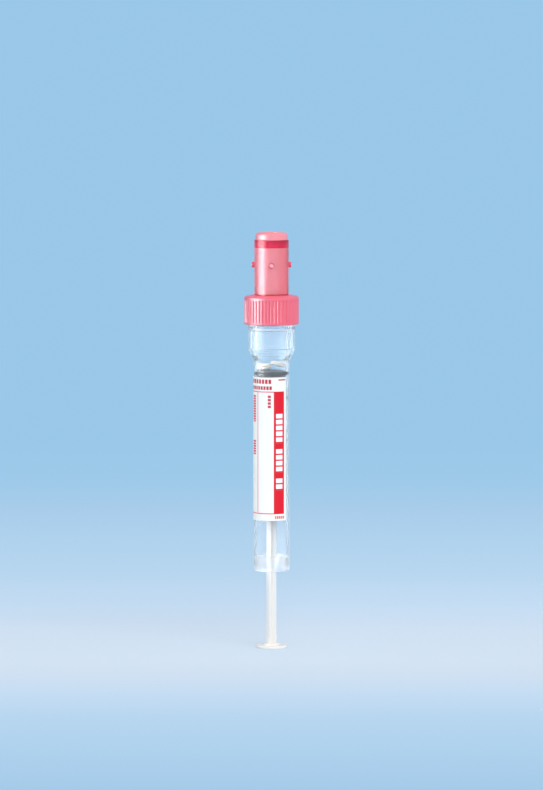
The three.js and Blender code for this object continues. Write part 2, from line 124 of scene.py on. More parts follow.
PIP_HEIGHT = COLLAR_TOP + 7.4
PIP_COUNT = 4
BAND_TOP = DOME_FOOT - 0.05
BAND_FOOT = BAND_TOP - 2.05
SKIRT_BORE = 1.85
SKIRT_RADIUS = 2.55

# Plunger
DISC_THICKNESS = 0.65
HUB_RADIUS = 1.9
HUB_HEIGHT = 0.4
ROD_WIDTH = 2.35
RIB_THICKNESS = 0.62
ROD_TURN = 19  # degrees
CROSS_TOP = 56.55
BREAK_RADIUS = 0.65
FLANGE_FOOT = CROSS_TOP + 0.6
FLANGE_RADIUS = 3.2
STEM_RADIUS = 1.3
HEAD_RADIUS = 1.9
FLANGE_TOP = SEAL_FOOT - 0.05
SEAL_RIM = SEAL_TOP - 0.45
SEAL_WAIST = 3.07
SEAL_LIP = BORE + 0.008
SOCKET_PLAY = 0.05

# Label
LABEL_BORE = BODY_RADIUS - 0.003  # so that it lies on the flats of the body's facets
WINDOW = (52, 112)  # degrees from the front towards the right
BLOCK_SHARE = 0.76  # how much of each step of a line of print is ink

# Pellets
PELLET_RADIUS = 1.846
PELLET_HALF_HEIGHT = 0.88
PELLET_RIM_HALF = 0.4
PELLET_GROOVE = 0.12
PELLET_GROOVE_HALF = 0.14

# Studio, in metres and degrees
BACKDROP = "#99c6e7"
FLOOR_RADIUS = 40
# the pale pool on the floor is a painted pool of light
POOL_DEPTH = 0.537  # from the pale pool's middle to where the floor is the backdrop's blue
POOL_MIDDLE = -0.022  # a little in front of the tube
POOL_STEEPER = 1.9  # how much faster it fades towards the camera
POOL_WIDER = 0.3  # how much slower it fades sideways
WORLD_LIGHT = 0.75
SUN_LIGHT = 1.4
LIGHT_LEVEL = 0.957  # how bright a white sheet on the floor comes out
LAMP_AIM = 0.05
PANEL_DISTANCE = 0.28
PANEL_HEIGHT = 0.5
STRIPS = ((-106, -90, 5), (-90, -74, 15), (-74, -50, 20), (-50, -34, 6))  # from, to and brightness
BEHIND = ((172, 148, 0.12), (148, 120, 0.45), (120, 92, 0.25))  # the same, on both sides
CAMERA_ELEVATION = 5
CAMERA_DISTANCE = 1.2
CAMERA_LENS = 230  # millimetres
SENSOR_WIDTH = 36  # millimetres
AIM_HEIGHT = 0.06045

# ---------------------------------------------------------------- modelling


def mode(name):
    bpy.ops.object.mode_set(mode=name)


def alone(piece):
    """Only this piece is selected and active."""
    bpy.ops.object.select_all(action="DESELECT")
    piece.select_set(True)
    bpy.context.view_layer.objects.active = piece


def pick(piece, wanted):
    """In edit mode, with only those vertices selected whose place passes the test."""
    mode("OBJECT")
    mesh = piece.data
    mesh.polygons.foreach_set("select", [False] * len(mesh.polygons))
    mesh.edges.foreach_set("select", [False] * len(mesh.edges))
    mesh.vertices.foreach_set("select", [bool(wanted(*v.co)) for v in mesh.vertices])
    mode("EDIT")
    bpy.ops.mesh.select_mode(type="VERT")


def at(corner_x, corner_z):
    """A test for the vertices at one corner of an outline."""
    return lambda x, y, z: abs(x - corner_x) < 1e-3 and abs(y) < 1e-3 and abs(z - corner_z) < 1e-3


def drawn(name, points, closed=True, segments=5):
    """An outline in the XZ plane, extruded from corner to corner. A corner's third number rounds it off."""
    bpy.ops.object.select_all(action="DESELECT")
    bpy.ops.mesh.primitive_plane_add(size=1)
    piece = bpy.context.object
    piece.name = name
    mode("EDIT")
    bpy.ops.mesh.select_mode(type="VERT")
    bpy.ops.mesh.select_all(action="SELECT")
    bpy.ops.mesh.merge(type="CENTER")
    bpy.ops.transform.translate(value=(points[0][0], 0, points[0][1]))
    for before, after in zip(points, points[1:]):
        step = (after[0] - before[0], 0, after[1] - before[1])
        bpy.ops.mesh.extrude_vertices_move(TRANSFORM_OT_translate={"value": step})
    if closed:
        first, last = at(*points[0][:2]), at(*points[-1][:2])
        pick(piece, lambda x, y, z: first(x, y, z) or last(x, y, z))
        bpy.ops.mesh.edge_face_add()
    for corner in points:
        if len(corner) == 3:
            pick(piece, at(*corner[:2]))
            bpy.ops.mesh.bevel(offset=corner[2], segments=segments, affect="VERTICES")
    return piece


def turned(name, points, steps=96, closed=True, segments=5):
    """An outline turned once round the axis."""
    piece = drawn(name, points, closed, segments)
    bpy.ops.mesh.select_all(action="SELECT")
    bpy.ops.mesh.spin(steps=steps, angle=TURN, center=(0, 0, 0), axis=(0, 0, 1))
    tidy()
    return piece


def tidy():
    """The piece in hand gets its doubles merged and its faces turned outwards."""
    mode("EDIT")
    bpy.ops.mesh.select_all(action="SELECT")
    bpy.ops.mesh.remove_doubles(threshold=1e-4)
    bpy.ops.mesh.normals_make_consistent(inside=False)
    mode("OBJECT")


def joined_solid(piece, other):
    """The other solid is welded on, so that no wall is left between them."""
    alone(piece)
    weld = piece.modifiers.new("Weld", "BOOLEAN")
    weld.operation = "UNION"
    weld.solver = "EXACT"
    weld.object = other
    bpy.ops.object.modifier_apply(modifier=weld.name)
    bpy.data.objects.remove(other)
    tidy()


def finished(piece, body, node, material):
    """The piece is brought to metres, shaded, given its material and put in the CAD node's place.

    Shading is smooth over its rounds, and leaves the straight walls between them straight.
    """
    alone(piece)
    bpy.ops.transform.resize(value=(MM, MM, MM), center_override=(0, 0, 0))
    bpy.ops.object.transform_apply(location=True, rotation=True, scale=True)
    bpy.ops.object.shade_smooth_by_angle(angle=math.radians(SMOOTH_ANGLE))
    flatten = piece.modifiers.new("Flatten", "WEIGHTED_NORMAL")
    flatten.keep_sharp = True
    bpy.ops.object.modifier_apply(modifier=flatten.name)
    piece.data.materials.clear()
    piece.data.materials.append(material)
    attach(piece, body)
    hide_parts(node)


def thread_ridge(wall, side, start_angle, start_height):
    """A ridge that climbs to the right along a wall, standing out of it, or in from it with side -1."""
    root, crest = wall - side * THREAD_SUNK, wall + side * THREAD_DEPTH
    section = [
        (root, -THREAD_ROOT_HALF),
        (crest, -THREAD_CREST_HALF, 0.08),
        (crest, THREAD_CREST_HALF, 0.08),
        (root, THREAD_ROOT_HALF),
    ]
    ridge = drawn("ridge", section, segments=2)
    mode("OBJECT")
    alone(ridge)
    climb = ridge.modifiers.new("Climb", "SCREW")
    climb.angle = TURN * THREAD_TURNS
    climb.screw_offset = THREAD_PITCH * THREAD_TURNS
    climb.steps = climb.render_steps = THREAD_STEPS
    climb.use_smooth_shade = False
    bpy.ops.object.modifier_apply(modifier=climb.name)
    run_in(ridge, wall, side)
    mode("EDIT")
    bpy.ops.mesh.select_all(action="SELECT")
    bpy.ops.mesh.fill_holes(sides=0)
    tidy()
    ridge.rotation_euler = (0, 0, start_angle)
    ridge.location = (0, 0, start_height)
    alone(ridge)
    bpy.ops.object.transform_apply(location=True, rotation=True, scale=True)
    return ridge


def run_in(ridge, wall, side):
    """The ridge rises out of its wall over the first and last tenth of its way."""
    under_wall = 0.05
    part = THREAD_STEPS // 10
    for from_start in (True, False):
        for step in range(part):
            along = (step if from_start else THREAD_STEPS - step) / THREAD_STEPS
            turn = TURN * THREAD_TURNS * along
            middle = THREAD_PITCH * THREAD_TURNS * along
            share = (step / part) ** 0.5

            def on_crest(x, y, z):
                off = (math.atan2(y, x) - turn + math.pi) % TURN - math.pi
                above_wall = side * (math.hypot(x, y) - wall)
                return abs(off) < 1e-3 and abs(z - middle) < THREAD_ROOT_HALF and above_wall > 0.05

            pick(ridge, on_crest)
            scale = (wall + side * (share * THREAD_DEPTH - under_wall)) / (wall + side * THREAD_DEPTH)
            bpy.ops.transform.resize(value=(scale, scale, 1), center_override=(0, 0, 0))
    mode("OBJECT")


# ---------------------------------------------------------------- materials


def linear(code):
    """An sRGB hex colour as linear RGBA."""
    shares = [int(code[start : start + 2], 16) / 255 for start in (1, 3, 5)]
    return (*[s / 12.92 if s <= 0.04045 else ((s + 0.055) / 1.055) ** 2.4 for s in shares], 1)


def node(tree, kind, inputs=(), **settings):
    """Adds a node, with its settings, and with its inputs set to values or linked from sockets."""
    made = tree.nodes.new(kind)
    for key, value in settings.items():
        setattr(made, key, value)
    for key, value in dict(inputs).items():
        if isinstance(value, bpy.types.NodeSocket):
            tree.links.new(value, made.inputs[key])
        else:
            made.inputs[key].default_value = value
    return made


def new_material(name):
    material = bpy.data.materials.new(name)
    material.use_nodes = True
    material.node_tree.nodes.clear()
    return material, material.node_tree


def object_place(tree):
    return node(tree, "ShaderNodeTexCoord").outputs["Object"]


def fine_bump(tree, place, grain_mm, strength):
    """A surface's slight unevenness, 0.02 mm deep at full strength, with a grain of that size."""
    grain = node(tree, "ShaderNodeTexNoise", {"Vector": place, "Scale": 1 / (grain_mm * MM), "Detail": 3.0})
    inputs = {"Height": grain.outputs["Fac"], "Strength": strength, "Distance": 0.02 * MM}
    return node(tree, "ShaderNodeBump", inputs).outputs["Normal"]


def uneven(tree, place, patch_mm, first, second):
    """A colour that drifts between two near ones over patches of that size."""
    patches = node(tree, "ShaderNodeTexNoise", {"Vector": place, "Scale": 1 / (patch_mm * MM), "Detail": 2.0})
    mix = node(tree, "ShaderNodeMix", {"Factor": patches.outputs["Fac"]}, data_type="RGBA")
    mix.inputs["A"].default_value = linear(first)
    mix.inputs["B"].default_value = linear(second)
    return mix.outputs["Result"]


def within(tree, value, low, high, soft):
    """1 where a value lies between two limits, with soft edges."""
    up = {"Value": value, "From Min": low - soft, "From Max": low + soft}
    down = {"Value": value, "From Min": high + soft, "From Max": high - soft}
    rise, fall = [node(tree, "ShaderNodeMapRange", inputs).outputs[0] for inputs in (up, down)]
    return node(tree, "ShaderNodeMath", {0: rise, 1: fall}, operation="MULTIPLY").outputs[0]


def lamp_light_through(tree, surface, tint):
    """Lamp light passes through the clear wall instead of casting a black shadow."""
    path = node(tree, "ShaderNodeLightPath")
    clear = node(tree, "ShaderNodeBsdfTransparent", {"Color": linear(tint)})
    inputs = {0: path.outputs["Is Shadow Ray"], 1: surface, 2: clear.outputs[0]}
    return node(tree, "ShaderNodeMixShader", inputs).outputs[0]


def clear_polypropylene(name, clearness):
    """Clear polypropylene, injection moulded: glossy, with a faint milky haze that pales its edges."""
    material, tree = new_material(name)
    place = object_place(tree)
    plastic = node(
        tree,
        "ShaderNodeBsdfPrincipled",
        {
            "Base Color": uneven(tree, place, 3, "#f9fcff", "#fcfeff"),
            "Roughness": 0.05,
            "IOR": 1.49,
            "Specular Tint": linear("#646464"),
            "Transmission Weight": clearness,
            "Sheen Weight": 1.0,
            "Sheen Roughness": 0.3,
            "Normal": fine_bump(tree, place, 6, 0.001),
        },
    )
    surface = lamp_light_through(tree, plastic.outputs[0], "#fafcfe")
    node(tree, "ShaderNodeOutputMaterial", {"Surface": surface})
    return material


def frosted_and_highlight_polypropylene():
    """The same polypropylene where the mould was left matt, in the foot: whitish. On the bead its whitish
    look is a painted highlight.
    """
    material, tree = new_material("clear_polypropylene_frosted_and_painted_highlight")
    place = object_place(tree)
    plastic = node(
        tree,
        "ShaderNodeBsdfPrincipled",
        {
            "Base Color": uneven(tree, place, 2, "#fafcff", "#fdfeff"),
            "Roughness": 0.2,
            "IOR": 1.49,
            "Transmission Weight": 0.7,
            "Sheen Weight": 1.0,
            "Sheen Roughness": 0.3,
            "Normal": fine_bump(tree, place, 0.3, 0.15),
        },
    )
    surface = lamp_light_through(tree, plastic.outputs[0], "#fafcfe")
    node(tree, "ShaderNodeOutputMaterial", {"Surface": surface})
    return material


def tinted_clear():
    """Tinted polyethylene, injection moulded: see-through, glossy, and deeper in colour seen edge on."""
    material, tree = new_material("tinted_polyethylene_moulded")
    place = object_place(tree)
    plastic = node(
        tree,
        "ShaderNodeBsdfPrincipled",
        {
            "Base Color": uneven(tree, place, 4, "#fce2e6", "#fde8ec"),
            "Roughness": 0.08,
            "IOR": 1.51,
            "Specular Tint": linear("#a0a0a0"),
            "Transmission Weight": 0.97,
            "Normal": fine_bump(tree, place, 1.2, 0.04),
        },
    )
    dye = node(tree, "ShaderNodeVolumeAbsorption", {"Color": linear("#ff5c80"), "Density": 380.0})
    surface = lamp_light_through(tree, plastic.outputs[0], "#fdf0f2")
    node(tree, "ShaderNodeOutputMaterial", {"Surface": surface, "Volume": dye.outputs[0]})
    return material


def tinted_solid():
    """The same polyethylene where it scatters light: deep in the collar, pale on the neck's bore and dome.

    A pip is pale too, with a deep ring round its rim that is painted shade.
    """
    material, tree = new_material("tinted_polyethylene_thick_moulded")
    place = object_place(tree)
    x, y, z = node(tree, "ShaderNodeSeparateXYZ", {0: place}).outputs
    flat = node(tree, "ShaderNodeCombineXYZ", {0: x, 1: y}).outputs[0]
    around_axis = node(tree, "ShaderNodeVectorMath", {0: flat}, operation="LENGTH").outputs["Value"]
    sideways = node(tree, "ShaderNodeMath", {0: x}, operation="ABSOLUTE").outputs[0]
    forward = node(tree, "ShaderNodeMath", {0: y}, operation="ABSOLUTE").outputs[0]
    off_pip = node(tree, "ShaderNodeMath", {0: sideways, 1: forward}, operation="MINIMUM").outputs[0]
    above_pip = node(tree, "ShaderNodeMath", {0: z, 1: PIP_HEIGHT * MM}, operation="SUBTRACT").outputs[0]
    from_pip = node(tree, "ShaderNodeCombineXYZ", {0: off_pip, 1: above_pip}).outputs[0]
    from_pip = node(tree, "ShaderNodeVectorMath", {0: from_pip}, operation="LENGTH").outputs["Value"]
    soft = NEAR * MM
    pip_rim_painted_shade = within(tree, from_pip, 0.62 * PIP_RADIUS * MM, 2 * PIP_RADIUS * MM, 0.04 * MM)
    bore = within(tree, around_axis, 0, (NECK_BORE + 0.3) * MM, soft)
    neck = within(tree, z, (COLLAR_TOP + 0.5) * MM, BAND_TOP * MM, soft)
    dome = within(tree, z, (BAND_TOP - 0.2) * MM, 2 * CAP_TOP * MM, soft)
    # the deep ring round each pip's rim is painted shade
    inputs = {"Factor": pip_rim_painted_shade, "A": linear("#fbb4bc"), "B": linear("#e85a72")}
    pip = node(tree, "ShaderNodeMix", inputs, data_type="RGBA").outputs["Result"]
    inputs = {"Factor": bore, "A": pip, "B": uneven(tree, place, 3, "#fff8f9", "#fffcfc")}
    on_neck = node(tree, "ShaderNodeMix", inputs, data_type="RGBA").outputs["Result"]
    inputs = {"Factor": neck, "A": uneven(tree, place, 3, "#f26c7e", "#f67485"), "B": on_neck}
    below_dome = node(tree, "ShaderNodeMix", inputs, data_type="RGBA").outputs["Result"]
    inputs = {"Factor": dome, "A": below_dome, "B": uneven(tree, place, 3, "#f9929a", "#fb98a0")}
    colour = node(tree, "ShaderNodeMix", inputs, data_type="RGBA").outputs["Result"]
    plastic = node(
        tree,
        "ShaderNodeBsdfPrincipled",
        {
            "Base Color": colour,
            "Roughness": 0.32,
            "IOR": 1.51,
            "Subsurface Weight": 0.2,
            "Subsurface Radius": (1.0, 0.4, 0.4),
            "Subsurface Scale": 0.5 * MM,
            "Normal": fine_bump(tree, place, 1.2, 0.015),
        },
    )
    node(tree, "ShaderNodeOutputMaterial", {"Surface": plastic.outputs[0]})
    return material


def red_rubber():
    """Red thermoplastic rubber, moulded: deep colour with a soft sheen."""
    material, tree = new_material("red_rubber_moulded")
    place = object_place(tree)
    rubber = node(
        tree,
        "ShaderNodeBsdfPrincipled",
        {
            "Base Color": uneven(tree, place, 1.5, "#f41a78", "#f8207e"),
            "Roughness": 0.6,
            "IOR": 1.5,
            "Specular IOR Level": 0.15,
            "Normal": fine_bump(tree, place, 0.5, 0.2),
        },
    )
    node(tree, "ShaderNodeOutputMaterial", {"Surface": rubber.outputs[0]})
    return material


def black_rubber():
    """Black siliconed rubber, moulded: near black, with a light gloss from its silicone film."""
    material, tree = new_material("black_rubber_siliconed")
    place = object_place(tree)
    rubber = node(
        tree,
        "ShaderNodeBsdfPrincipled",
        {
            "Base Color": uneven(tree, place, 1, "#343538", "#404144"),
            "Roughness": 0.32,
            "IOR": 1.5,
            "Normal": fine_bump(tree, place, 0.4, 0.15),
        },
    )
    node(tree, "ShaderNodeOutputMaterial", {"Surface": rubber.outputs[0]})
    return material


def white_polyethylene():
    """White polyethylene, injection moulded: satin, with light going a little way into thin ribs."""
    material, tree = new_material("white_polyethylene_moulded")
    place = object_place(tree)
    plastic = node(
        tree,
        "ShaderNodeBsdfPrincipled",
        {
            "Base Color": uneven(tree, place, 3, "#ebe8e4", "#efece8"),
            "Roughness": 0.35,
            "IOR": 1.5,
            "Specular IOR Level": 0.25,
            "Subsurface Weight": 0.1,
            "Subsurface Radius": (1.0, 0.9, 0.85),
            "Subsurface Scale": 0.4 * MM,
            "Normal": fine_bump(tree, place, 1, 0.08),
        },
    )
    node(tree, "ShaderNodeOutputMaterial", {"Surface": plastic.outputs[0]})
    return material


def pellet_plastic(name, first, second):
    """Coated polystyrene beads: matt. The beige kind is painted shade for the groove round the rim."""
    material, tree = new_material(name)
    place = object_place(tree)
    plastic = node(
        tree,
        "ShaderNodeBsdfPrincipled",
        {
            "Base Color": uneven(tree, place, 0.6, first, second),
            "Roughness": 0.55,
            "IOR": 1.5,
            "Specular IOR Level": 0.15,
            "Normal": fine_bump(tree, place, 0.2, 0.3),
        },
    )
    node(tree, "ShaderNodeOutputMaterial", {"Surface": plastic.outputs[0]})
    return material


def cut_up(tree, ink, run, end, step):
    """Breaks a printed bar into equal blocks with a gap after each, counted from its end."""
    left = node(tree, "ShaderNodeMath", {0: end, 1: run}, operation="SUBTRACT").outputs[0]
    place = node(tree, "ShaderNodeMath", {0: left, 1: step}, operation="FLOORED_MODULO").outputs[0]
    block = within(tree, place, 0, BLOCK_SHARE * step, 0.02 * step)
    return node(tree, "ShaderNodeMath", {0: ink, 1: block}, operation="MULTIPLY").outputs[0]


def printed(tree, under, turn, height, angles, heights, colour, blocks="", step=1.0):
    """One field of printed colour on the label, whole or in blocks that run "up" the tube or "round" it.

    Angles are degrees from the front towards the right, and a block's step is in millimetres.
    """
    across = within(tree, turn, math.radians(angles[0]), math.radians(angles[1]), 0.01)
    along = within(tree, height, heights[0] * MM, heights[1] * MM, 0.04 * MM)
    ink = node(tree, "ShaderNodeMath", {0: across, 1: along}, operation="MULTIPLY").outputs[0]
    if blocks == "up":
        ink = cut_up(tree, ink, height, heights[1] * MM, step * MM)
    if blocks == "round":
        ink = cut_up(tree, ink, turn, math.radians(angles[1]), step / LABEL_RADIUS)
    mix = node(tree, "ShaderNodeMix", {"Factor": ink, "A": under, "B": linear(colour)}, data_type="RGBA")
    return mix.outputs["Result"]


def label_paper():
    """Coated label paper, printed in red: white and smooth, with a faint fibre grain."""
    material, tree = new_material("coated_paper_printed")
    place = object_place(tree)
    x, y, height = node(tree, "ShaderNodeSeparateXYZ", {0: place}).outputs
    front = node(tree, "ShaderNodeMath", {0: y, 1: -1.0}, operation="MULTIPLY").outputs[0]
    turn = node(tree, "ShaderNodeMath", {0: x, 1: front}, operation="ARCTAN2").outputs[0]
    colour = uneven(tree, place, 0.5, "#fdf8f1", "#fefaf4")
    low, high = LABEL_FOOT + 1.7, LABEL_TOP - 3.45  # the two rules across the label
    fields = [
        ((-115, 7.5), (low - 0.12, low + 0.12), "#e8505c"),
        ((-115, 7.5), (high - 0.12, high + 0.12), "#e8505c"),
        ((-50.5, -46.5), (low, high), "#f09aa2"),
        ((7.3, 43.5), (low - 0.1, high + 0.1), "#e8162c"),
        ((22.5, 50), (LABEL_TOP - 0.75, LABEL_TOP - 0.45), "#c01834"),
        ((-110, -1), (LABEL_TOP - 1.5, LABEL_TOP - 0.5), "#c41c38", "round", 0.85),
        ((-110, 1), (LABEL_TOP - 2.95, LABEL_TOP - 2.1), "#c41c38", "round", 0.75),
        ((-80, -58), (high - 7.2, high - 0.9), "#e04858", "up", 0.6),
        ((-80, -58), (high - 15, high - 11.6), "#e04858", "up", 0.6),
        ((-12, -2), (high - 4, high - 0.8), "#d03c50", "up", 0.8),
        ((11, 44), (LABEL_FOOT + 0.45, LABEL_FOOT + 1.15), "#e06874", "round", 0.55),
        ((14.5, 37), (high - 12.2, high - 5.2), "#ffffff", "up", 1.4),
        ((14.5, 37), (high - 19.2, high - 13.6), "#ffffff", "up", 1.4),
        ((14.5, 37), (high - 23.4, high - 20.6), "#ffffff", "up", 1.4),
    ]
    for field in fields:
        colour = printed(tree, colour, turn, height, *field)
    paper = node(
        tree,
        "ShaderNodeBsdfPrincipled",
        {
            "Base Color": colour,
            "Roughness": 0.7,
            "IOR": 1.5,
            "Specular IOR Level": 0.3,
            "Normal": fine_bump(tree, place, 0.15, 0.15),
        },
    )
    node(tree, "ShaderNodeOutputMaterial", {"Surface": paper.outputs[0]})
    return material


# ---------------------------------------------------------------- barrel


def finishes(barrel, hazy, frosted_and_highlight, milky):
    """The body is hazy below the shoulder, the sleeve milky, and the foot's inside frosted. The bead gets the
    frosted finish too, as a painted highlight.
    """
    for material in (hazy, frosted_and_highlight, milky):
        barrel.data.materials.append(material)
    for face in barrel.data.polygons:
        x, y, z = face.center / MM
        around_axis = math.hypot(x, y)
        in_foot = around_axis < BORE + 0.02 and z < TUBE_FOOT + FOOT_LAND + FOOT_CONE + NEAR
        # the bead's whitish frosted finish is a painted highlight
        on_bead_painted_highlight = around_axis > SLEEVE_OUTER + 0.01 and abs(z - BEAD_MIDDLE) < BEAD_HALF
        if z < SHOULDER_FOOT:
            face.material_index = 1
        elif around_axis > SLEEVE_INNER - NEAR:
            face.material_index = 3
        if in_foot or on_bead_painted_highlight:
            face.material_index = 2


def make_barrel(material, hazy, frosted_and_highlight, milky):
    """The narrow body with its coned-in foot, and the threaded sleeve with its bead round the upper end."""
    points = [
        (FOOT_BORE, TUBE_FOOT, 0.1),
        (BODY_RADIUS, TUBE_FOOT, 0.18),
        (BODY_RADIUS, SHOULDER_FOOT, 0.7),
        (SLEEVE_OUTER, SHOULDER_TOP, 0.6),
        (SLEEVE_OUTER, BEAD_MIDDLE - BEAD_HALF, 0.1),
        (SLEEVE_OUTER + BEAD_PROUD, BEAD_MIDDLE - BEAD_HALF / 2, 0.12),
        (SLEEVE_OUTER + BEAD_PROUD, BEAD_MIDDLE + BEAD_HALF / 2, 0.12),
        (SLEEVE_OUTER, BEAD_MIDDLE + BEAD_HALF, 0.1),
        (SLEEVE_OUTER, COLLAR_FOOT, 0.08),
        (THREAD_WALL, COLLAR_FOOT + 0.2),
        (THREAD_WALL, SLEEVE_TOP, 0.15),
        (SLEEVE_INNER, SLEEVE_TOP, 0.15),
        (SLEEVE_INNER, SLEEVE_FLOOR, 0.2),
        (BODY_RADIUS, SLEEVE_FLOOR, 0.2),
        (BODY_RADIUS, TUBE_MOUTH, 0.12),
        (SEAT_RADIUS, TUBE_MOUTH, 0.12),
        (SEAT_RADIUS, SEAT_FLOOR + 0.22, 0.1),
        (BORE, SEAT_FLOOR, 0.1),
        (BORE, TUBE_FOOT + FOOT_LAND + FOOT_CONE, 0.8),
        (FOOT_BORE, TUBE_FOOT + FOOT_LAND, 0.2),
    ]
    barrel = turned("barrel_tube", points)
    joined_solid(barrel, thread_ridge(THREAD_WALL, 1, 0, THREAD_START))
    finished(barrel, "barrel", "tube", material)
    finishes(barrel, hazy, frosted_and_highlight, milky)


def make_label(material):
    """A band of paper, cut away where the window strip is."""
    points = [
        (LABEL_BORE, LABEL_FOOT),
        (LABEL_RADIUS, LABEL_FOOT),
        (LABEL_RADIUS, LABEL_TOP),
        (LABEL_BORE, LABEL_TOP),
    ]
    label = turned("label_wrap", points, steps=180)
    mode("EDIT")
    bpy.ops.mesh.select_mode(type="FACE")
    bpy.ops.mesh.select_all(action="DESELECT")
    mode("OBJECT")
    for face in label.data.polygons:
        turn = math.degrees(math.atan2(face.center.x, -face.center.y))
        face.select = WINDOW[0] < turn < WINDOW[1]
    mode("EDIT")
    bpy.ops.mesh.delete(type="FACE")
    bpy.ops.mesh.select_mode(type="VERT")
    bpy.ops.mesh.select_all(action="SELECT")
    bpy.ops.mesh.fill_holes(sides=4)
    tidy()
    finished(label, "barrel", "label", material)


# ---------------------------------------------------------------- cap and stopper


def press_grooves(cap):
    """Grooves are pressed into the collar, so that a rounded rib is left between each two."""
    columns = len(GROOVE_DEPTH_SHARES)
    for column, share in enumerate(GROOVE_DEPTH_SHARES):
        if share == 0:
            continue

        def in_groove(x, y, z):
            place = (math.atan2(y, x) / TURN * RIB_COUNT * columns - column) % columns
            in_column = min(place, columns - place) < 0.2
            on_rim = math.hypot(x, y) > COLLAR_RADIUS - 0.05
            return in_column and on_rim and GROOVE_FOOT + 0.05 < z < GROOVE_TOP - 0.05

        pick(cap, in_groove)
        scale = 1 - share * RIB_DEPTH / COLLAR_RADIUS
        bpy.ops.transform.resize(value=(scale, scale, 1), center_override=(0, 0, 0))
    mode("OBJECT")


def make_pip(index):
    """A round pip on the neck, with a raised edge and a small dot at its middle."""
    reach = PIP_ROOT + PIP_PROUD
    points = [
        (0, 0),
        (PIP_RADIUS, 0),
        (PIP_RADIUS, reach, 0.12),
        (0.42, reach, 0.06),
        (0.34, reach - PIP_DISH, 0.05),
        (0.16, reach - PIP_DISH, 0.04),
        (0.1, reach - 0.03, 0.03),
        (0, reach - 0.03),
    ]
    pip = turned("pip", points, steps=32, closed=False, segments=3)
    pip.rotation_euler = (math.radians(90), 0, 0)
    pip.location = (0, PIP_ROOT - NECK_RADIUS, PIP_HEIGHT)
    alone(pip)
    bpy.ops.object.transform_apply(location=True, rotation=True, scale=True)
    pip.rotation_euler = (0, 0, index * TURN / PIP_COUNT)
    bpy.ops.object.transform_apply(location=True, rotation=True, scale=True)
    return pip


def thickened(cap, material):
    """The collar, the dome, the pips and the neck's bore below the stopper get the scattering finish."""
    cap.data.materials.append(material)
    for face in cap.data.polygons:
        x, y, z = face.center / MM
        around_axis = math.hypot(x, y)
        in_collar = around_axis > NECK_RADIUS + NEAR and z < COLLAR_TOP + RING_HEIGHT + 0.02
        below_roof = z < ROOF_UNDERSIDE + NEAR and around_axis > NECK_BORE + NEAR
        in_bore = abs(around_axis - NECK_BORE) < NEAR and z < BAND_FOOT
        in_dome = z > DOME_FOOT - 0.08
        on_pip = around_axis > NECK_RADIUS + 0.03 and abs(z - PIP_HEIGHT) < 2 * PIP_RADIUS
        if in_collar or below_roof or in_bore or in_dome or on_pip:
            face.material_index = 1


def make_cap(material, thick):
    """One moulding: ribbed collar with an inside thread, plug skirt, hollow neck with its pips, and dome."""
    points = [
        (COLLAR_BORE, COLLAR_FOOT, 0.1),
        (COLLAR_RADIUS, COLLAR_FOOT, 0.3),
        (COLLAR_RADIUS, GROOVE_FOOT),
        (COLLAR_RADIUS, GROOVE_FOOT + GROOVE_RUN_OUT),
        (COLLAR_RADIUS, GROOVE_TOP - GROOVE_RUN_OUT),
        (COLLAR_RADIUS, GROOVE_TOP),
        (COLLAR_RADIUS, COLLAR_TOP, 0.5),
        (RING_RADIUS, COLLAR_TOP, 0.05),
        (RING_RADIUS - RING_HEIGHT, COLLAR_TOP + RING_HEIGHT, 0.08),
        (NECK_RADIUS, COLLAR_TOP + RING_HEIGHT, 0.15),
        (NECK_RADIUS, DOME_FOOT - 0.12, 0.05),
        (DOME_RADIUS, DOME_FOOT, 0.06),
        (DOME_RADIUS, CAP_TOP, 0.9),
        (LIP_BORE, CAP_TOP, 0.15),
        (LIP_BORE, DOME_FOOT, 0.05),
        (NECK_BORE, DOME_FOOT, 0.05),
        (NECK_BORE, PLUG_FOOT, 0.1),
        (PLUG_RADIUS - 0.25, PLUG_FOOT, 0.1),
        (PLUG_RADIUS, PLUG_FOOT + 0.5, 0.2),
        (PLUG_RADIUS, ROOF_UNDERSIDE, 0.15),
        (COLLAR_BORE, ROOF_UNDERSIDE, 0.2),
    ]
    cap = turned("cap", points, steps=len(GROOVE_DEPTH_SHARES) * RIB_COUNT, segments=4)
    press_grooves(cap)
    start_angle = TURN * ((CAP_THREAD_START - THREAD_START) / THREAD_PITCH - 0.5)
    joined_solid(cap, thread_ridge(COLLAR_BORE, -1, start_angle, CAP_THREAD_START))
    for index in range(PIP_COUNT):
        joined_solid(cap, make_pip(index))
    finished(cap, "cap", "screw_cap", material)
    thickened(cap, thick)


def make_stopper(material):
    """A disc with a short skirt below it, and a dished boss that fills the lip's hole."""
    boss = LIP_BORE - 0.05
    points = [
        (0, BAND_FOOT),
        (SKIRT_BORE, BAND_FOOT, 0.15),
        (SKIRT_BORE, STOPPER_FOOT, 0.1),
        (SKIRT_RADIUS, STOPPER_FOOT, 0.15),
        (SKIRT_RADIUS, BAND_FOOT, 0.1),
        (NECK_BORE + 0.005, BAND_FOOT, 0.1),
        (NECK_BORE + 0.005, BAND_TOP, 0.08),
        (boss, BAND_TOP, 0.05),
        (boss, STOPPER_TOP, 0.25),
        (1.1, STOPPER_TOP, 0.3),
        (0, STOPPER_TOP - 0.3),
    ]
    stopper = turned("membrane", points, closed=False)
    finished(stopper, "stopper", "membrane_stopper", material)


# ---------------------------------------------------------------- plunger


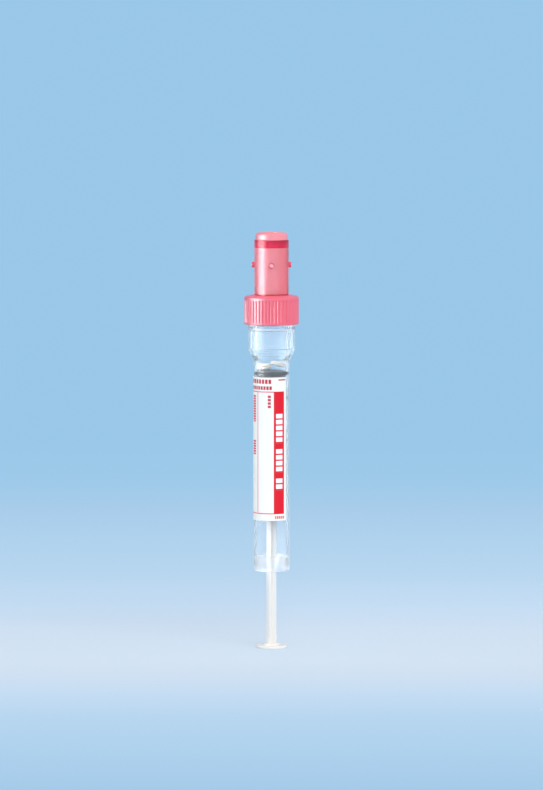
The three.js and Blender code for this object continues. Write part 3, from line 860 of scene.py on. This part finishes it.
def make_piston(material):
    """The seal, with three lips on the bore and a socket for the rod's head."""
    stem, head = STEM_RADIUS + SOCKET_PLAY, HEAD_RADIUS + SOCKET_PLAY
    socket_foot, socket_top = FLANGE_TOP + 1.95, FLANGE_TOP + 4.45
    middle_lip, lower_lip = SEAL_RIM - 4.65, SEAL_RIM - 6.3
    points = [
        (stem, SEAL_FOOT, 0.1),
        (SEAL_WAIST, SEAL_FOOT, 0.2),
        (SEAL_WAIST, lower_lip - 0.45, 0.15),
        (SEAL_LIP, lower_lip - 0.2, 0.12),
        (SEAL_LIP, lower_lip + 0.2, 0.12),
        (SEAL_WAIST, lower_lip + 0.45, 0.15),
        (SEAL_WAIST, middle_lip - 0.45, 0.15),
        (SEAL_LIP, middle_lip - 0.12, 0.1),
        (SEAL_LIP, middle_lip + 0.12, 0.1),
        (SEAL_WAIST, middle_lip + 0.45, 0.15),
        (SEAL_WAIST, SEAL_RIM - 1.7, 0.3),
        (SEAL_LIP, SEAL_RIM - 1, 0.15),
        (SEAL_LIP, SEAL_RIM, 0.2),
        (0, SEAL_TOP),
        (0, socket_top),
        (HEAD_RADIUS - 0.65, socket_top, 0.1),
        (head, socket_top - 1.8, 0.1),
        (head, socket_foot, 0.08),
        (stem, socket_foot, 0.08),
    ]
    piston = turned("piston", points)
    finished(piston, "plunger", "piston_seal", material)


def make_disc():
    """The thumb disc with its hub ring."""
    points = [
        (0, 0),
        (DISC_RADIUS, 0, 0.14),
        (DISC_RADIUS, DISC_THICKNESS, 0.14),
        (HUB_RADIUS, DISC_THICKNESS, 0.06),
        (HUB_RADIUS, DISC_THICKNESS + HUB_HEIGHT, 0.15),
        (0, DISC_THICKNESS + HUB_HEIGHT),
    ]
    return turned("disc", points, closed=False)


def make_cross():
    """Four ribs that cross on the axis: a square is drawn out on its four sides, then upwards."""
    bpy.ops.object.select_all(action="DESELECT")
    bpy.ops.mesh.primitive_plane_add(size=RIB_THICKNESS, location=(0, 0, DISC_THICKNESS / 2))
    cross = bpy.context.object
    bpy.ops.object.transform_apply(location=True, rotation=True, scale=True)
    half = RIB_THICKNESS / 2
    reach = (ROD_WIDTH - RIB_THICKNESS) / 2
    for side_x, side_y in ((1, 0), (-1, 0), (0, 1), (0, -1)):

        def on_side(x, y, z):
            across = abs(x * side_y) + abs(y * side_x)
            return x * side_x + y * side_y > half - 1e-4 and across < half + 1e-4

        pick(cross, on_side)
        step = (side_x * reach, side_y * reach, 0)
        bpy.ops.mesh.extrude_edges_move(TRANSFORM_OT_translate={"value": step})
    bpy.ops.mesh.select_all(action="SELECT")
    up = (0, 0, CROSS_TOP - DISC_THICKNESS / 2)
    bpy.ops.mesh.extrude_region_move(TRANSFORM_OT_translate={"value": up})
    tidy()
    alone(cross)
    soften = cross.modifiers.new("Soften", "BEVEL")
    soften.width = 0.07
    soften.segments = 3
    soften.angle_limit = math.radians(40)
    bpy.ops.object.modifier_apply(modifier=soften.name)
    cross.rotation_euler = (0, 0, math.radians(-ROD_TURN))
    bpy.ops.object.transform_apply(location=True, rotation=True, scale=True)
    return cross


def make_rod_end():
    """The thin break point, the locking flange and the head that sits in the piston."""
    head_foot = FLANGE_TOP + 2
    points = [
        (0, CROSS_TOP - 0.6),
        (BREAK_RADIUS, CROSS_TOP - 0.6),
        (BREAK_RADIUS, FLANGE_FOOT, 0.1),
        (2.2, FLANGE_FOOT, 0.1),
        (FLANGE_RADIUS, FLANGE_FOOT + 1, 0.1),
        (FLANGE_RADIUS, FLANGE_TOP, 0.1),
        (STEM_RADIUS, FLANGE_TOP, 0.1),
        (STEM_RADIUS, head_foot, 0.08),
        (HEAD_RADIUS, head_foot, 0.1),
        (HEAD_RADIUS, head_foot + 0.6, 0.1),
        (1.2, ROD_TOP, 0.15),
        (0, ROD_TOP),
    ]
    return turned("rod_end", points, closed=False)


def make_rod(material):
    """The thumb disc, the cross and the upper end, welded into one rod."""
    rod = make_disc()
    rod.name = "plunger_rod_and_disc"
    joined_solid(rod, make_cross())
    joined_solid(rod, make_rod_end())
    finished(rod, "plunger", "plunger_rod", material)


def make_pellet(index, tilt, coat, groove_shade):
    """A lentil with a groove round its rim, coloured beige there as painted shade."""
    full = PELLET_RADIUS * 0.8
    points = [
        (0, -PELLET_HALF_HEIGHT),
        (full, -PELLET_HALF_HEIGHT + 0.12, 0.5),
        (PELLET_RADIUS, -PELLET_RIM_HALF, 0.2),
        (PELLET_RADIUS, -PELLET_GROOVE_HALF, 0.04),
        (PELLET_RADIUS - PELLET_GROOVE, 0, 0.08),
        (PELLET_RADIUS, PELLET_GROOVE_HALF, 0.04),
        (PELLET_RADIUS, PELLET_RIM_HALF, 0.2),
        (full, PELLET_HALF_HEIGHT - 0.12, 0.5),
        (0, PELLET_HALF_HEIGHT),
    ]
    low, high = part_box(f"activator_pellet_{index}")
    pellet = turned(f"pellet_{index}", points, steps=64, closed=False)
    in_groove = [abs(face.center.z) < PELLET_GROOVE_HALF for face in pellet.data.polygons]
    pellet.rotation_euler = (0, math.radians(tilt), 0)
    pellet.location = (low + high) / 2 / MM
    alone(pellet)
    bpy.ops.object.transform_apply(location=True, rotation=True, scale=True)
    finished(pellet, "plunger", f"activator_pellet_{index}", coat)
    pellet.data.materials.append(groove_shade)
    for face, grooved in zip(pellet.data.polygons, in_groove):
        if grooved:
            face.material_index = 1


# ---------------------------------------------------------------- floor, lamps and camera


def pale_floor():
    """Pale blue paper with a painted pool of light: palest in a wide pool round the tube, and an even blue
    further off.
    """
    bpy.ops.object.select_all(action="DESELECT")
    bpy.ops.mesh.primitive_circle_add(vertices=96, radius=FLOOR_RADIUS, fill_type="NGON", location=(0, 0, 0))
    floor = bpy.context.object
    floor.name = "floor"
    material, tree = new_material("pale_blue_paper_painted_light_pool")
    x, y, _ = node(tree, "ShaderNodeSeparateXYZ", {0: object_place(tree)}).outputs
    side = node(tree, "ShaderNodeMath", {0: x, 1: POOL_WIDER}, operation="MULTIPLY").outputs[0]
    depth = node(tree, "ShaderNodeMath", {0: y, 1: POOL_MIDDLE}, operation="SUBTRACT").outputs[0]
    front = node(tree, "ShaderNodeMath", {0: depth, 1: -POOL_STEEPER}, operation="MULTIPLY").outputs[0]
    reach = node(tree, "ShaderNodeMath", {0: depth, 1: front}, operation="MAXIMUM").outputs[0]
    far = node(tree, "ShaderNodeCombineXYZ", {0: side, 1: reach}).outputs[0]
    length = node(tree, "ShaderNodeVectorMath", {0: far}, operation="LENGTH").outputs["Value"]
    share = node(tree, "ShaderNodeMapRange", {"Value": length, "From Max": POOL_DEPTH}).outputs[0]
    # the ramp paints a pool of light, palest round the tube
    ramp = node(tree, "ShaderNodeValToRGB", {"Fac": share})
    stops = [
        (0, "#d3e3f3"),
        (0.1, "#cedff1"),
        (0.205, "#c2dbf2"),
        (0.325, "#b6d4ee"),
        (0.45, "#afd1ec"),
        (0.6, "#a7cbe9"),
        (0.76, "#9dc8e8"),
        (1, BACKDROP),
    ]
    elements = ramp.color_ramp.elements
    for place, code in stops[1:-1]:
        elements.new(place).color = linear(code)
    elements[0].color = linear(stops[0][1])
    elements[-1].color = linear(stops[-1][1])
    inputs = {0: ramp.outputs[0], "Scale": 1 / LIGHT_LEVEL}
    paler = node(tree, "ShaderNodeVectorMath", inputs, operation="SCALE")
    paper = node(tree, "ShaderNodeBsdfDiffuse", {"Color": paler.outputs[0]})
    node(tree, "ShaderNodeOutputMaterial", {"Surface": paper.outputs[0]})
    floor.data.materials.append(material)


def studio_world():
    """Even soft white light all round, while eyes, mirrors and clear things see the backdrop's blue."""
    world = bpy.data.worlds.new("studio")
    bpy.context.scene.world = world
    world.use_nodes = True
    tree = world.node_tree
    tree.nodes.clear()
    path = node(tree, "ShaderNodeLightPath").outputs
    seen = path["Is Camera Ray"]
    for ray in ("Is Glossy Ray", "Is Transmission Ray"):
        seen = node(tree, "ShaderNodeMath", {0: seen, 1: path[ray]}, operation="MAXIMUM").outputs[0]
    inputs = {0: path["Diffuse Depth"], 1: 0.5}
    direct = node(tree, "ShaderNodeMath", inputs, operation="LESS_THAN").outputs[0]
    seen = node(tree, "ShaderNodeMath", {0: seen, 1: direct}, operation="MULTIPLY").outputs[0]
    inputs = {0: 1.0, 1: path["Is Transmission Ray"]}
    open_air = node(tree, "ShaderNodeMath", inputs, operation="SUBTRACT").outputs[0]
    strength = node(tree, "ShaderNodeMath", {0: open_air, 1: WORLD_LIGHT}, operation="MULTIPLY").outputs[0]
    light = node(tree, "ShaderNodeBackground", {"Color": linear("#ffffff"), "Strength": strength}).outputs[0]
    backdrop = node(tree, "ShaderNodeBackground", {"Color": linear(BACKDROP), "Strength": 1.0}).outputs[0]
    mix = node(tree, "ShaderNodeMixShader", {0: seen, 1: light, 2: backdrop})
    node(tree, "ShaderNodeOutputWorld", {"Surface": mix.outputs[0]})


def aimed(thing, place, target):
    """Puts a lamp or camera at a place and turns it to look at a target."""
    thing.location = place
    toward = mathutils.Vector(target) - mathutils.Vector(place)
    thing.rotation_euler = toward.to_track_quat("-Z", "Y").to_euler()


def around(turn, elevation, distance, height):
    """A place round the tube: degrees from the front towards the right, and degrees up."""
    turn, elevation = math.radians(turn), math.radians(elevation)
    flat = distance * math.cos(elevation)
    return (flat * math.sin(turn), -flat * math.cos(turn), height + distance * math.sin(elevation))


def lamp(name, kind, turn, elevation, distance, energy, **settings):
    """A lamp aimed at the tube's middle."""
    data = bpy.data.lights.new(name, kind)
    data.energy = energy
    for key, value in settings.items():
        setattr(data, key, value)
    made = bpy.data.objects.new(name, data)
    bpy.context.scene.collection.objects.link(made)
    aimed(made, around(turn, elevation, distance, LAMP_AIM), (0, 0, LAMP_AIM))
    return made


def panel(name, turns, brightness, colour="#ffffff", clear_only=False):
    """A tall panel between two turns, seen in gloss alone, or through clear walls alone."""
    middle = (turns[0] + turns[1]) / 2
    width = 2 * PANEL_DISTANCE * math.tan(math.radians(turns[1] - turns[0]) / 2)
    energy = brightness * math.pi * width * PANEL_HEIGHT
    look = {"shape": "RECTANGLE", "size": width, "size_y": PANEL_HEIGHT, "color": linear(colour)[:3]}
    made = lamp(name, "AREA", middle, 0, PANEL_DISTANCE, energy, **look)
    made.visible_camera = False
    made.visible_diffuse = False
    made.visible_glossy = not clear_only
    made.visible_transmission = clear_only


def lights():
    """A wide soft sun, tall strips for the highlight on the left, and a warm glow behind the clear walls."""
    sun = lamp("sun", "SUN", 25, 30, 2, SUN_LIGHT, angle=math.radians(50))
    sun.visible_glossy = False
    sun.visible_transmission = False
    for first, last, brightness in STRIPS:
        panel(f"strip_left_{-last}", (first, last), brightness)
    panel("fill_front", (-25, 45), 0.5)
    for side, name in ((-1, "left"), (1, "right")):
        for inner, outer, brightness in BEHIND:
            turns = sorted((side * inner, side * outer))
            panel(f"behind_{name}_{outer}", turns, brightness, "#fff2cc", clear_only=True)


def camera():
    """A long lens in front of the tube, looking down on it a little."""
    data = bpy.data.cameras.new("camera")
    data.lens = CAMERA_LENS
    data.sensor_width = SENSOR_WIDTH
    made = bpy.data.objects.new("camera", data)
    bpy.context.scene.collection.objects.link(made)
    aimed(made, around(0, CAMERA_ELEVATION, CAMERA_DISTANCE, AIM_HEIGHT), (0, 0, AIM_HEIGHT))
    bpy.context.scene.camera = made


# ---------------------------------------------------------------- everything

clear = clear_polypropylene("clear_polypropylene_moulded", 0.985)
hazy = clear_polypropylene("clear_polypropylene_hazy", 0.91)
milky = clear_polypropylene("clear_polypropylene_milky", 0.96)
make_barrel(clear, hazy, frosted_and_highlight_polypropylene(), milky)
make_label(label_paper())
make_cap(tinted_clear(), tinted_solid())
make_stopper(red_rubber())
make_piston(black_rubber())
make_rod(white_polyethylene())
coat = pellet_plastic("coated_bead_matt", "#e9e7e2", "#e2dfd9")
# beige painted shade for the pellets' grooves
groove_shade = pellet_plastic("coated_bead_painted_groove_shade", "#c9b99c", "#c0b092")
make_pellet(1, -8, coat, groove_shade)
make_pellet(2, 20, coat, groove_shade)

pale_floor()
studio_world()
lights()
camera()
bpy.context.scene.view_settings.view_transform = "Standard"
